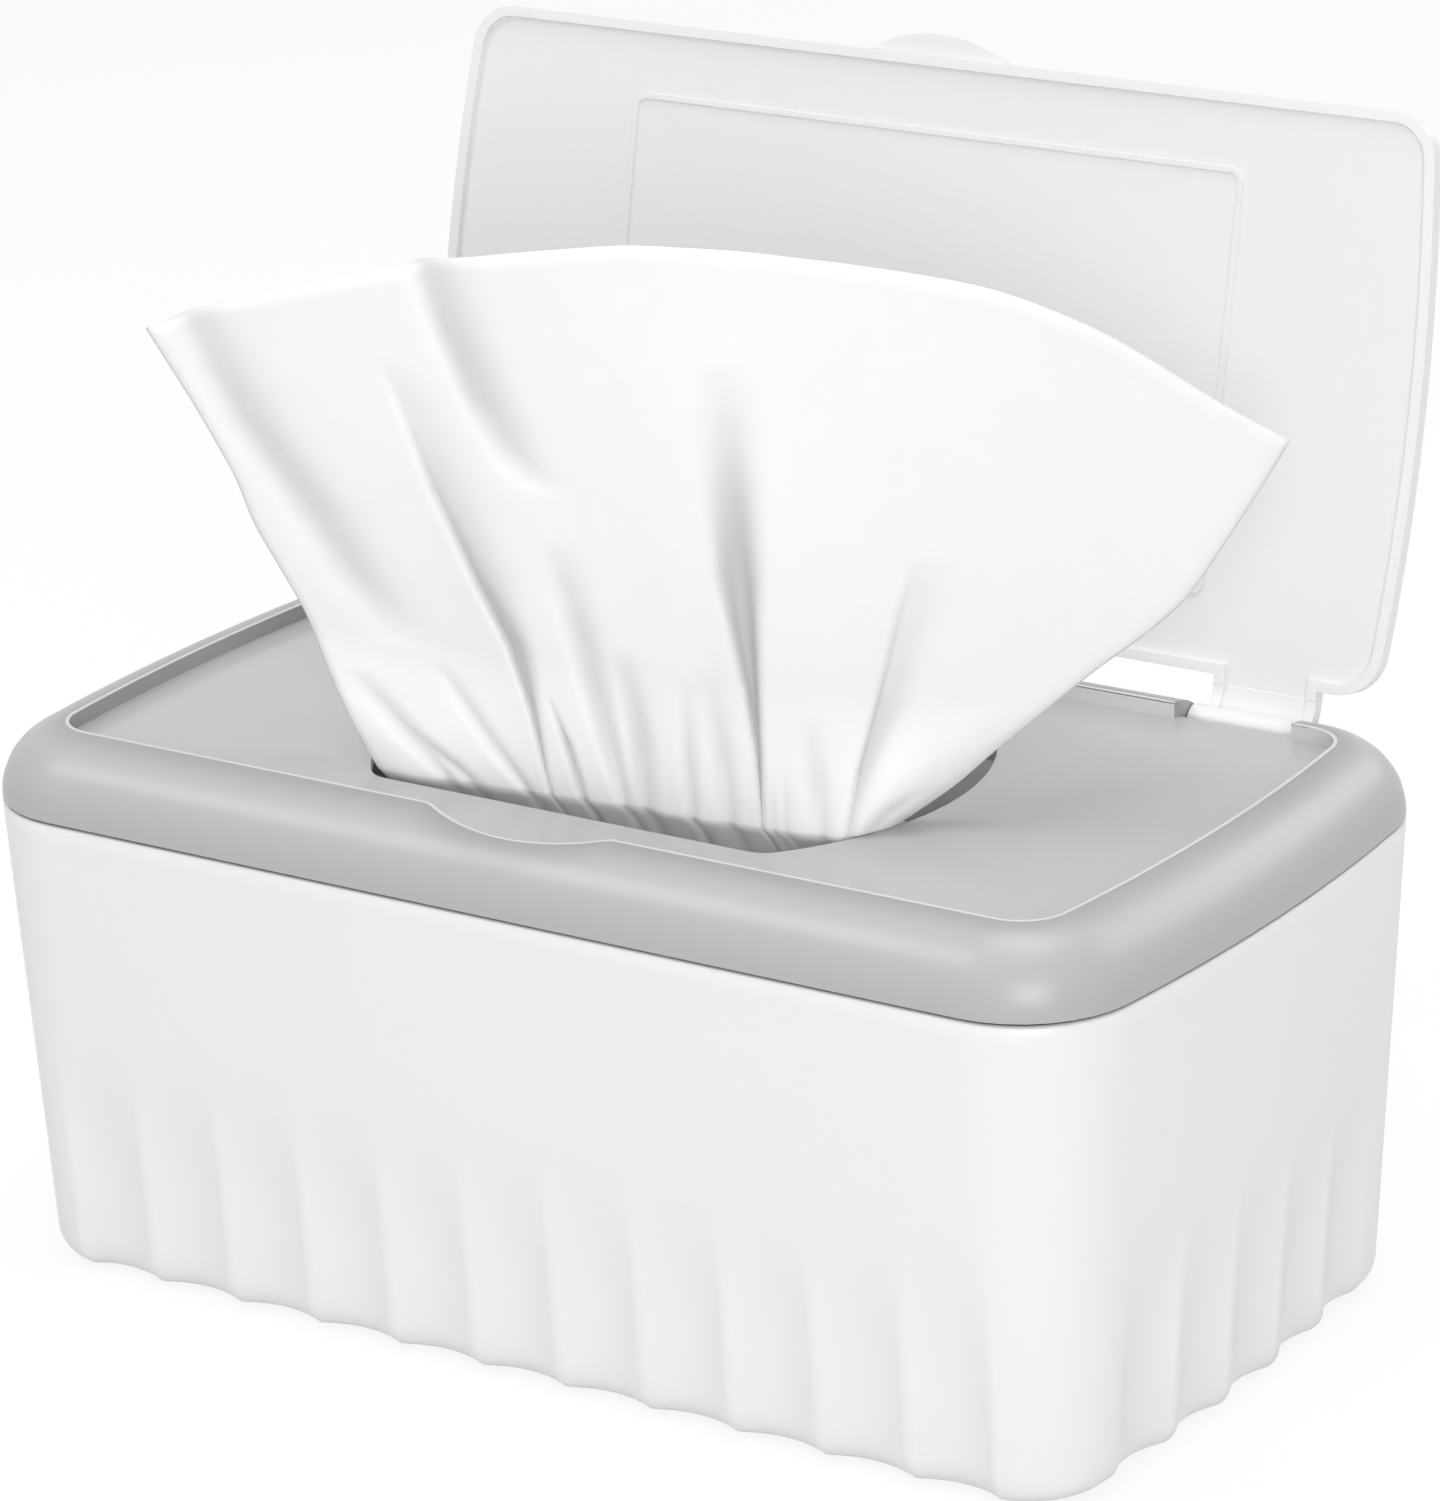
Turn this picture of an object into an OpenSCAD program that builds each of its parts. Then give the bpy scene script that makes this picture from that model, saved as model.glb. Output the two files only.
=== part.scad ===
// Countertop wipes dispenser: fluted tub, lift-off cover with a rolled rim and
// a wide slot, flip lid on two snap-in arms, and the interfolded wipes inside.
// Millimetres. +X is the long side, -Y the front, +Z up.
// The origin is the middle of the flat base. The lid stands open.

/* [Body] */
// Overall length at the line where the cover meets the tub
body_len = 200.4; // [180:0.2:240]
// Overall depth at the same line
body_dep = 112.2; // [104:0.2:130]
// Corner radius seen from above, at the same line
corner_r = 17.9; // [14:0.1:20]
// Radius of the gently bowed short sides, at the same line
bow_r = 384; // [300:1:900]

/* [Tub] */
// Height of the tub from its base to its rim
tub_h = 75.6; // [70:0.2:110]
// Thickness of the tub's wall
tub_wall = 2; // [1.4:0.1:2.6]
// Thickness of the tub's floor
tub_floor = 2.2; // [1.6:0.1:3]
// How far each wall leans in from rim to base
tub_draft = 4.3; // [3:0.1:6]
// Rounding of the bottom edge
foot_r = 4.5; // [3:0.1:6]
// Depth of the flutes where they are deepest
flute_depth = 1.8; // [0.8:0.1:2.4]
// Flutes on each long side
flutes_long = 11; // [7:1:13]
// Flutes on each short side
flutes_short = 5; // [3:1:7]
// Width of the band of flutes on a long side
flute_band_long = 167; // [140:1:170]
// Width of the band of flutes on a short side
flute_band_short = 75; // [60:1:76]
// Height at which the flutes have died away
flute_top = 43; // [36:1:60]
// Height below which the flutes have their full depth
flute_full = 16; // [10:1:24]

/* [Cover] */
// Radius of the rolled rim's cross-section
roll_r = 10.85; // [9:0.05:12]
// Thickness of the cover's walls
cover_wall = 2; // [1.4:0.1:2.4]
// Depth of the lid's recess, from the rim's top to the deck
recess_drop = 2.5; // [2.2:0.1:4]
// Thickness of the deck
deck_t = 2; // [1.4:0.1:2.4]
// How far the recess wall runs on below the deck
deck_edge = 0.6; // [0.4:0.1:1.5]
// Height of the shadow line between cover and tub
shadow_gap = 0.4; // [0.2:0.1:0.8]
// Depth of the shadow line
shadow_dep = 0.8; // [0.4:0.1:1.2]
// Thickness of the web that sits on the tub's rim
web_t = 1.6; // [1.2:0.1:2.4]
// How far the cover's skirt reaches into the tub
skirt_drop = 6; // [4:0.5:10]
// Thickness of the skirt
skirt_wall = 1.5; // [1.2:0.1:2]
// Clearance between the skirt and the tub's wall
skirt_gap = 0.4; // [0.3:0.05:0.6]

/* [Slot] */
// Radius of the slot's round ends
slot_r = 47; // [36:0.5:52]
// Width of the slot between its straight edges
slot_dep = 63.8; // [50:0.2:68]
// Position of the slot's middle, front to back
slot_y = -2.5; // [-3:0.5:1]
// Rounding where a straight edge meets a round end
slot_corner = 5; // [3:0.5:8]

/* [Finger scoop] */
// Width of the scoop in the front rim
scoop_w = 32; // [28:0.5:40]
// How far the scoop reaches into the rim
scoop_d = 3.9; // [3.8:0.1:5]
// How far the dish in front of the scoop drops below the rim's top
dish_drop = 1.45; // [0.8:0.05:1.8]
// Length of solid rim on each side of the scoop
scoop_pad = 3; // [2:0.5:6]

/* [Hinge] */
// Distance of the hinge axis behind the recess's rear wall
axis_back = 5.65; // [5.4:0.05:6]
// Distance of the hinge axis below the rim's top
axis_down = 4.35; // [4.2:0.05:4.8]
// Radius of the lid's barrels
barrel_r = 2.6; // [2.2:0.1:2.8]
// Radius of the stub pins
pin_r = 1.5; // [1.2:0.1:1.8]
// Length of a stub pin
pin_len = 2; // [1.5:0.1:2.5]
// Radial clearance of a pin in its socket
pin_gap = 0.05; // [0.02:0.01:0.1]
// Distance of a notch's inner wall from the middle
notch_x = 57.4; // [50:0.2:58]
// Width of a notch
notch_w = 20; // [16:0.5:21]
// Thickness of the cheek beside a notch
cheek_t = 3; // [2.6:0.1:3.4]
// Clearance at the ends and below a barrel
barrel_gap = 0.3; // [0.2:0.05:0.6]
// How far the deck runs back into a notch
deck_lip = 1.35; // [1:0.05:1.6]
// Width of an arm
arm_w = 17.6; // [12:0.2:18]
// Gap between an arm and the notch's outer wall
arm_gap = 0.6; // [0.4:0.1:1]
// Thickness of an arm between its edges
arm_t = 1.7; // [1.4:0.05:2]
// How far an arm's edges stand proud of its middle
arm_edge_h = 0.5; // [0.2:0.05:0.6]

/* [Lid] */
// Gap between the lid and the recess at the short sides
lid_gap_side = 0.4; // [0.3:0.05:1]
// Gap between the lid and the recess at the front
lid_gap_front = 1.15; // [0.6:0.05:2]
// Gap between the lid and the recess at the back
lid_gap_back = 1.5; // [1.4:0.05:2.2]
// Corner radius of the lid, seen from above
lid_corner = 7.4; // [5:0.1:9]
// Thickness of the lid's plate
lid_plate = 1.5; // [1.2:0.1:1.8]
// Gap between the closed lid's rim and the deck
lid_rest_gap = 0.1; // [0.05:0.05:0.3]
// How far the closed lid's top lies below the rim's top
lid_flush = 0.05; // [0:0.05:0.3]
// Width of the down-turned rim
lid_rim_w = 1.7; // [1.2:0.1:2.4]
// Length of the bead's rectangle under the lid
bead_len = 110; // [80:1:120]
// Depth of the bead's rectangle
bead_dep = 64.4; // [40:0.2:70]
// Width of the bead
bead_w = 0.9; // [0.6:0.1:1.6]
// Height of the bead
bead_h = 0.4; // [0.2:0.1:0.6]
// Corner radius of the bead's rectangle
bead_corner = 2; // [1:0.5:6]
// Width of the finger tab
tab_w = 25; // [18:0.5:30]
// How far the tab stands out from the lid's front edge
tab_d = 3.4; // [2:0.1:3.6]
// Angle between the closed and the open lid
lid_open = 102; // [92:1:104]

/* [Wipes] */
// Gap between the stack of wipes and the foot of each end wall
stack_end_gap = 4.9; // [4:0.1:16]
// Gap between the stack and the foot of the front and back walls
stack_side_gap = 5.8; // [4:0.1:14]
// Height of the stack
stack_h = 56; // [30:1:58]
// Soft layers that show on the stack's sides
stack_layers = 10; // [6:1:14]
// Rounding of the stack's corners, seen from above
stack_corner = 5; // [3:0.5:10]
// How far each layer bulges
layer_bulge = 0.7; // [0.3:0.1:1]
// Gap between the stack and the tub's floor, and between the stack and the raised wipe
soft_gap = 0.3; // [0.2:0.05:0.5]
// Thickness of the raised wipe's soft solid
wipe_t = 0.8; // [0.5:0.1:1]
// Distance of the raised wipe behind the slot's front edge
wipe_inset = 8.9; // [7:0.1:20]
// Clearance between the gathered wipe's edges and the slot's round ends
stem_gap = 1; // [0.6:0.1:12]
// How far the gathered wipe stands to the right of the middle
stem_x = 3; // [0:0.5:4]
// Span of the raised wipe's fan between its top corners
fan_w = 164; // [120:1:170]
// How far the fan stands to the right of the middle
fan_x = 4.4; // [0:0.2:6]
// Distance of the fan's crown to the right of the middle
crown_x = 24; // [10:1:30]
// Distance from the middle at which the fan begins to sweep back
curl_x = 10; // [5:1:20]
// Height of the fan's crown above the deck
fan_h = 84.9; // [60:0.1:88]
// How far the fan's left corner lies below its crown
fan_drop_left = 23; // [8:1:30]
// How far the fan's right corner lies below its crown
fan_drop_right = 33; // [8:1:40]
// How far the fan's right corner is swept back
fan_sweep = 50; // [0:1:56]
// Slant of the whole fan seen from above, as a slope
fan_slant = 0.035; // [0:0.005:0.06]
// Folds gathered at the slot
fan_folds = 7; // [5:1:9]
// Depth of the folds at the slot, each way from the middle
fold_a = 3.2; // [1.5:0.1:3.4]

/* [Hidden] */
$fn = 96;
bow_fn = 720;

// The recess outline is the base of the plan: every other outline of body and
// cover is this one moved outwards by one distance, so all share their centres.
rec_a = body_len / 2 - roll_r;
rec_b = body_dep / 2 - roll_r;
rec_r = corner_r - roll_r;
rec_R = bow_r - roll_r;
bow_x = rec_a - rec_R;
fil_y = rec_b - rec_r;
fil_x = bow_x + sqrt(pow(rec_R - rec_r, 2) - pow(fil_y, 2));
fil_ang = asin(fil_y / (rec_R - rec_r));

cover_z = tub_h + shadow_gap;
roll_z = cover_z + shadow_gap;
rim_z = roll_z + roll_r;
deck_z = rim_z - recess_drop;
web_z = cover_z + web_t;

axis_y = rec_b + axis_back;
axis_z = rim_z - axis_down;
arm_x = notch_x + notch_w - arm_gap - arm_w;

lid_a = rec_a - lid_gap_side;
lid_y0 = -rec_b + lid_gap_front;
lid_y1 = rec_b - lid_gap_back;
lid_b = (lid_y1 - lid_y0) / 2;
lid_yc = (lid_y1 + lid_y0) / 2;
lid_R = rec_R;
lid_z1 = rim_z - lid_flush;
lid_z0 = deck_z + lid_rest_gap;
plate_z = lid_z1 - lid_plate;

// Facets across and up the raised wipe, across a flute, round a corner and
// along a bowed side
sheet_n = 50;
sheet_m = 11;
flute_n = 5;
corner_n = 8;
bow_n = 8;

// How far a cut runs past the surface that it cuts
over = 1;

stack_len = body_len - 2 * (tub_draft + tub_wall + stack_end_gap);
stack_dep = body_dep - 2 * (tub_draft + tub_wall + stack_side_gap);
stack_z0 = tub_floor + soft_gap;
tail_z = stack_z0 + stack_h + soft_gap;

// The raised wipe stands near the slot's front edge, as wide as the slot is there
wipe_y = slot_y - slot_dep / 2 + wipe_inset;
stem_w = 2 * (sqrt(pow(slot_r, 2) - pow(wipe_y - slot_y, 2)) - stem_gap);

// How the fan's top edge falls to each corner, as powers of the distance from the
// crown, and how much sooner than evenly it spreads, in the middle and to the right
fall_left = 1.6;
fall_right = 2.5;
spread_mid = 0.4;
spread_right = 0.3;

// Share of the folds' depth that is gone at the top edge
fold_fade = 0.75;

// Radius of the arc with this half chord and rise
function arc_r(half, rise) = (half * half + rise * rise) / (2 * rise);

// Smooth step from 0 to 1
function ease(t) = let (c = max(0, min(1, t))) c * c * (3 - 2 * c);

// ---- plan outlines -------------------------------------------------------

// Outline with straight long sides, bowed short sides and round corners
module plan(a, b, r, R) {
    cx = a - R;
    fy = b - r;
    fx = cx + sqrt(pow(R - r, 2) - fy * fy);
    ty = fy + r * fy / (R - r);
    intersection() {
        translate([cx, 0]) circle(R, $fn = bow_fn);
        translate([-cx, 0]) circle(R, $fn = bow_fn);
        square([4 * a, 2 * ty], center = true);
    }
    square([2 * fx, 2 * b], center = true);
    for (x = [-fx, fx], y = [-fy, fy]) translate([x, y]) circle(r);
}

module recess_plan(w) {
    plan(rec_a + w, rec_b + w, rec_r + w, rec_R + w);
}

module lid_plan(w = 0) {
    translate([0, lid_yc]) plan(lid_a + w, lid_b + w, lid_corner + w, lid_R + w);
}

// ---- tub -----------------------------------------------------------------

// A station is a point on the parting outline, its outward direction and how
// much of the flute's depth it takes. They run anticlockwise from the right.
function scallop(v) = 1 - pow(2 * v - 1, 2);

function side_steps(n) = [for (i = [0 : n * flute_n])
    [2 * i / (n * flute_n) - 1, scallop((i % flute_n) / flute_n)]];

// Point of the parting outline at a distance round it from the middle of the
// right side, and from the middle of the back
function short_point(d) = let (
    straight = bow_r * fil_ang * PI / 180,
    k = max(-straight, min(straight, d)),
    t = (k / bow_r + (d - k) / corner_r) * 180 / PI,
    c = k == d ? [bow_x, 0, bow_r] : [fil_x, sign(d) * fil_y, corner_r])
        [c[0] + c[2] * cos(t), c[1] + c[2] * sin(t), cos(t), sin(t)];

function long_point(d) = let (
    k = max(-fil_x, min(fil_x, d)),
    t = 90 - (d - k) / corner_r * 180 / PI)
        [k + corner_r * cos(t), fil_y + corner_r * sin(t), cos(t), sin(t)];

function right_side() = [for (s = side_steps(flutes_short))
    concat(short_point(s[0] * flute_band_short / 2), s[1])];

function back_side() = [for (s = side_steps(flutes_long))
    concat(long_point(-s[0] * flute_band_long / 2), s[1])];

// Plain corner between the last flute of the right side and the first of the back
function back_corner() = let (
    a = short_point(flute_band_short / 2),
    b = long_point(flute_band_long / 2),
    t0 = max(fil_ang, atan2(a[3], a[2])),
    t1 = atan2(b[3], b[2])) [for (i = [0 : corner_n - 1])
        let (t = t0 + (t1 - t0) * (i + 0.5) / corner_n)
            [fil_x + corner_r * cos(t), fil_y + corner_r * sin(t), cos(t), sin(t), 0]];

function half_turn(s) = [for (p = s) [-p[0], -p[1], -p[2], -p[3], p[4]]];

function flip_x(s) = [for (i = [len(s) - 1 : -1 : 0])
    let (p = s[i]) [-p[0], p[1], -p[2], p[3], p[4]]];

function both_halves(h) = concat(h, half_turn(h));

stations = let (c = back_corner())
    both_halves(concat(right_side(), c, back_side(), flip_x(c)));

// How far the wall has leaned in at height z, and how deep its flutes are there
function lean(z) = tub_draft * (1 - z / tub_h);
function flute_at(z) = flute_depth * ease((flute_top - z) / (flute_top - flute_full));

function ring(z, inset, flute) = [for (s = stations)
    let (w = -inset - s[4] * flute) [s[0] + w * s[2], s[1] + w * s[3], z]];

wall_zs = [flute_full, flute_full + 0.25 * (flute_top - flute_full),
    (flute_full + flute_top) / 2, flute_full + 0.75 * (flute_top - flute_full),
    flute_top, tub_h];

function foot_ring(a, r, z0, inset) = let (z = z0 + r * (1 - sin(a)))
    ring(z, lean(z) + inset + r * (1 - cos(a)), flute_depth);

function tub_rings() = let (in_r = foot_r - tub_wall) concat(
    [for (a = [90, 67.5, 45, 22.5, 0]) foot_ring(a, foot_r, 0, 0)],
    [for (z = wall_zs) ring(z, lean(z), flute_at(z))],
    [for (i = [len(wall_zs) - 1 : -1 : 0]) let (z = wall_zs[i])
        ring(z, lean(z) + tub_wall, flute_at(z))],
    [for (a = [0, 45, 90]) foot_ring(a, in_r, tub_floor, tub_wall)]);

// Closed skin through rings of equal count. The first and last rings are capped,
// or joined to each other where the skin is a hoop.
module skin(rings, hoop = false) {
    n = len(rings[0]);
    m = len(rings);
    sides = [for (j = [0 : hoop ? m - 1 : m - 2], i = [0 : n - 1]) let (
        k = (i + 1) % n, low = j * n, up = (j + 1) % m * n)
        each [[low + i, up + i, up + k], [low + i, up + k, low + k]]];
    caps = hoop ? [] : [[for (i = [0 : n - 1]) i],
        [for (i = [n - 1 : -1 : 0]) (m - 1) * n + i]];
    polyhedron([for (r = rings) each r], concat(sides, caps), convexity = 6);
}

module tub() {
    color([0.95, 0.95, 0.95]) skin(tub_rings());
}

// ---- cover ---------------------------------------------------------------

// Arc of a rim section about the roll's centre, angles measured from the level
function roll_arc(r, a0, a1, n) = [for (i = [0 : n])
    let (a = a0 + (a1 - a0) * i / n) [r * cos(a), roll_z + r * sin(a)]];

// Section of the rolled rim as [distance outwards from the recess wall, height]:
// up the outside and over the roll, down the recess wall, round the hollow, then
// the web that sits on the tub and the skirt that reaches into it.
function rim_section() = let (
    in_r = roll_r - cover_wall,
    web_a = asin((web_z - roll_z) / in_r),
    wall_a = acos(cover_wall / in_r),
    skirt_z = tub_h - skirt_drop,
    skirt_out = roll_r - tub_wall - lean(skirt_z) - skirt_gap,
    skirt_in = skirt_out - skirt_wall) concat(
    [[roll_r, cover_z]],
    roll_arc(roll_r, 0, 90, 14),
    [[0, deck_z - deck_t - deck_edge], [cover_wall, deck_z - deck_t - deck_edge]],
    roll_arc(in_r, wall_a, web_a, 6),
    [[skirt_in, web_z], [skirt_in, skirt_z], [skirt_out, skirt_z], [skirt_out, tub_h],
        [roll_r - shadow_dep, tub_h], [roll_r - shadow_dep, cover_z]]);

rim_stations = let (
    side = [for (i = [0 : bow_n]) let (t = fil_ang * (2 * i / bow_n - 1))
        [bow_x + bow_r * cos(t), bow_r * sin(t), cos(t), sin(t), 0]],
    c = [for (i = [1 : corner_n]) let (t = fil_ang + (90 - fil_ang) * i / corner_n)
        [fil_x + corner_r * cos(t), fil_y + corner_r * sin(t), cos(t), sin(t), 0]])
    both_halves(concat(side, c, flip_x(c)));

module rim() {
    skin([for (q = rim_section()) [for (s = rim_stations)
        [s[0] + (q[0] - roll_r) * s[2], s[1] + (q[0] - roll_r) * s[3], q[1]]]], hoop = true);
}

// Filling of the back rim's hollow from x0 to x1, down to height z0
module filled_rim(x0, x1, z0) {
    translate([x0, rec_b, 0]) rotate([90, 0, 90]) linear_extrude(x1 - x0)
        intersection() {
            translate([0, roll_z]) circle(roll_r - cover_wall / 2);
            translate([cover_wall / 2, z0]) square(2 * roll_r);
        }
}

// Round opening cut off straight at front and back, with round corners
module slot_plan() {
    half = slot_dep / 2;
    cy = half - slot_corner;
    cx = sqrt(pow(slot_r - slot_corner, 2) - cy * cy);
    ty = slot_r * cy / (slot_r - slot_corner);
    translate([0, slot_y]) {
        intersection() {
            circle(slot_r);
            square([2 * slot_r, 2 * ty], center = true);
        }
        square([2 * cx, slot_dep], center = true);
        for (x = [-cx, cx], y = [-cy, cy]) translate([x, y]) circle(slot_corner);
    }
}

// Tab recess in the front rim and the shallow dish in front of it
module scoop_cut() {
    seat_r = arc_r(scoop_w / 2, scoop_d);
    dish_r = arc_r(scoop_w / 2 + over, dish_drop);
    translate([0, -rec_b - scoop_d + seat_r, deck_z]) intersection() {
        cylinder(r = seat_r, h = 2 * recess_drop);
        translate([-scoop_w, -seat_r - over, -over])
            cube([2 * scoop_w, seat_r / 2, 4 * recess_drop]);
    }
    translate([0, -rec_b, rim_z - dish_drop + dish_r]) rotate([90, 0, 0])
        intersection() {
            cylinder(r = dish_r, h = roll_r + over, $fn = bow_fn);
            translate([-scoop_w, -dish_r - over, -over])
                cube([2 * scoop_w, over + 4 * dish_drop, roll_r + 3 * over]);
        }
}

module notch_cut() {
    low = axis_z - barrel_r - barrel_gap;
    translate([notch_x, rec_b - over, deck_z]) cube([notch_w, roll_r + 2 * over, 2 * recess_drop]);
    translate([notch_x, rec_b + deck_lip, low]) cube([notch_w, roll_r, roll_r]);
    // pin sockets in both cheeks
    socket = pin_len + barrel_gap;
    translate([notch_x - socket, axis_y, axis_z]) rotate([0, 90, 0])
        cylinder(r = pin_r + pin_gap, h = notch_w + 2 * socket);
}

module cover() {
    color([0.72, 0.72, 0.72]) difference() {
        union() {
            rim();
            translate([0, 0, deck_z - deck_t]) linear_extrude(deck_t)
                recess_plan(cover_wall / 2);
            for (m = [0, 1]) mirror([m, 0, 0]) filled_rim(notch_x - cheek_t,
                notch_x + notch_w + cheek_t, web_z - web_t / 2);
            mirror([0, 1, 0]) filled_rim(-scoop_w / 2 - scoop_pad,
                scoop_w / 2 + scoop_pad, deck_z - deck_t);
        }
        translate([0, 0, deck_z - deck_t - over]) linear_extrude(deck_t + 2 * over) slot_plan();
        scoop_cut();
        for (m = [0, 1]) mirror([m, 0, 0]) notch_cut();
    }
}

// ---- lid -----------------------------------------------------------------

// Band of the arm that follows the rolled rim down to the barrel
module arm_band(x0, width, thick) {
    lean_back = atan2(axis_z - roll_z, axis_back);
    far = 2 * roll_r;
    translate([x0, rec_b, roll_z]) rotate([90, 0, 90]) linear_extrude(width)
        intersection() {
            difference() {
                circle(roll_r - lid_flush);
                circle(roll_r - lid_flush - thick);
            }
            polygon([[0, 0], [far * cos(lean_back), far * sin(lean_back)], [far, far], [0, far]]);
        }
}

module arm() {
    edge_t = arm_t + arm_edge_h;
    reach = rec_b - lid_y1;
    arm_band(arm_x, arm_w, arm_t);
    translate([arm_x, lid_y1 - lid_rim_w, plate_z])
        cube([arm_w, reach + lid_rim_w, lid_plate]);
    for (x = [arm_x, arm_x + arm_w - lid_rim_w]) {
        arm_band(x, lid_rim_w, edge_t);
        translate([x, lid_y1 - lid_rim_w, lid_z0])
            cube([lid_rim_w, reach + lid_rim_w, lid_z1 - lid_z0]);
    }
    translate([notch_x + barrel_gap, axis_y, axis_z]) rotate([0, 90, 0])
        cylinder(r = barrel_r, h = notch_w - 2 * barrel_gap);
    translate([notch_x + barrel_gap - pin_len, axis_y, axis_z]) rotate([0, 90, 0])
        cylinder(r = pin_r, h = notch_w - 2 * barrel_gap + 2 * pin_len);
}

module bead_plan(w) {
    l = bead_len / 2 + w;
    d = bead_dep / 2 + w;
    r = bead_corner + w;
    square([2 * l, 2 * (d - r)], center = true);
    square([2 * (l - r), 2 * d], center = true);
    for (x = [r - l, l - r], y = [r - d, d - r]) translate([x, y]) circle(r);
}

// Lid as it lies when closed
module closed_lid() {
    tab_r = arc_r(tab_w / 2, tab_d);
    translate([0, 0, plate_z]) linear_extrude(lid_plate) lid_plan();
    translate([0, 0, lid_z0]) linear_extrude(lid_z1 - lid_z0) difference() {
        lid_plan();
        lid_plan(-lid_rim_w);
        for (m = [0, 1]) mirror([m, 0]) translate([arm_x + lid_rim_w, lid_y1 - 2 * lid_rim_w])
            square([arm_w - 2 * lid_rim_w, 3 * lid_rim_w]);
    }
    translate([0, lid_yc, plate_z - bead_h]) linear_extrude(bead_h) difference() {
        bead_plan(bead_w / 2);
        bead_plan(-bead_w / 2);
    }
    translate([0, 0, plate_z]) linear_extrude(lid_plate) intersection() {
        translate([0, lid_y0 - tab_d + tab_r]) circle(tab_r);
        translate([0, lid_y0]) square([2 * tab_w, 2 * tab_d + over], center = true);
    }
    for (m = [0, 1]) mirror([m, 0, 0]) arm();
}

module lid() {
    color([0.96, 0.96, 0.96])
        translate([0, axis_y, axis_z]) rotate([-lid_open, 0, 0])
            translate([0, -axis_y, -axis_z]) closed_lid();
}

// ---- wipes ---------------------------------------------------------------

// Rounded rectangle, as points
function stack_ring(z, w) = [for (q = [0 : 3], i = [0 : 5]) let (
    t = 90 * q + 18 * i,
    x = (q == 0 || q == 3 ? 1 : -1) * (stack_len / 2 - stack_corner),
    y = (q < 2 ? 1 : -1) * (stack_dep / 2 - stack_corner))
        [x + (stack_corner - w) * cos(t), y + (stack_corner - w) * sin(t), z]];

// Interfolded wipes lying in the tub, their folded edges bulging at the sides
module wipe_stack() {
    layer = stack_h / stack_layers;
    rings = [for (k = [0 : stack_layers - 1], e = [0, 0.3, 0.7])
        stack_ring(stack_z0 + layer * (k + e), e == 0 ? layer_bulge : 0)];
    color([0.97, 0.97, 0.97]) skin(concat(rings, [stack_ring(stack_z0 + stack_h, layer_bulge)]));
}

// Plan curve: nearly straight on the left, swept back on the right
function sheet_y(x) = wipe_y + fan_slant * x
    + fan_sweep * pow(max(0, x - curl_x) / (fan_x + fan_w / 2 - curl_x), 2);

// Height of the top edge, which falls from the crown to both corners
function crown_z(x) = deck_z + fan_h - (x < crown_x
    ? fan_drop_left * pow((crown_x - x) / (crown_x - fan_x + fan_w / 2), fall_left)
    : fan_drop_right * pow((x - crown_x) / (fan_x + fan_w / 2 - crown_x), fall_right));

// Point of the sheet: u runs across and v up, both from 0 to 1. Below the deck
// the sheet is upright, and above it g runs from 0 at the deck to 1 at the edge.
function fan_point(u, v, side) = let (
    c = 2 * u - 1,
    stem = (deck_z - tail_z) / (deck_z - tail_z + fan_h),
    g = max(0, (v - stem) / (1 - stem)),
    spread = g + (spread_mid + spread_right * c) * g * (1 - g),
    x0 = stem_x + c * stem_w / 2,
    x1 = fan_x + c * fan_w / 2,
    x = x0 + (x1 - x0) * spread,
    z = g > 0 ? deck_z + (crown_z(x1) - deck_z) * g : tail_z + (deck_z - tail_z) * v / stem,
    a = fold_a * (1 - fold_fade * g) * (1 - pow(c, 4)),
    d = a * cos(360 * fan_folds * u) + side * wipe_t / 2,
    turn = atan2(sheet_y(x + wipe_t) - sheet_y(x - wipe_t), 2 * wipe_t))
        [x - d * sin(turn), sheet_y(x) + d * cos(turn), z];

// One wipe drawn up through the slot: gathered below, a folded fan above
module raised_wipe() {
    n = sheet_n;
    m = sheet_m;
    pts = [for (side = [-1, 1], j = [0 : m], i = [0 : n]) fan_point(i / n, j / m, side)];
    b = (n + 1) * (m + 1);
    front = [for (j = [0 : m - 1], i = [0 : n - 1]) let (p = j * (n + 1) + i)
        each [[p, p + n + 1, p + n + 2], [p, p + n + 2, p + 1]]];
    back = [for (f = front) [f[0] + b, f[2] + b, f[1] + b]];
    rows = [for (i = [0 : n - 1], j = [0, m]) let (p = j * (n + 1) + i)
        each j == 0 ? [[p, p + 1, p + 1 + b], [p, p + 1 + b, p + b]]
            : [[p, p + b, p + 1 + b], [p, p + 1 + b, p + 1]]];
    cols = [for (j = [0 : m - 1], i = [0, n]) let (p = j * (n + 1) + i, q = p + n + 1)
        each i == 0 ? [[p, p + b, q + b], [p, q + b, q]]
            : [[p, q, q + b], [p, q + b, p + b]]];
    color([0.98, 0.98, 0.98]) polyhedron(pts, concat(front, back, rows, cols), convexity = 10);
}

tub();
cover();
lid();
wipe_stack();
raised_wipe();
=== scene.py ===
"""Countertop wipes dispenser: fluted tub, rolled cover, flip lid and a raised wipe."""

import math

import bmesh
import bpy
import numpy as np
from mathutils import Matrix, Vector


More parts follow.
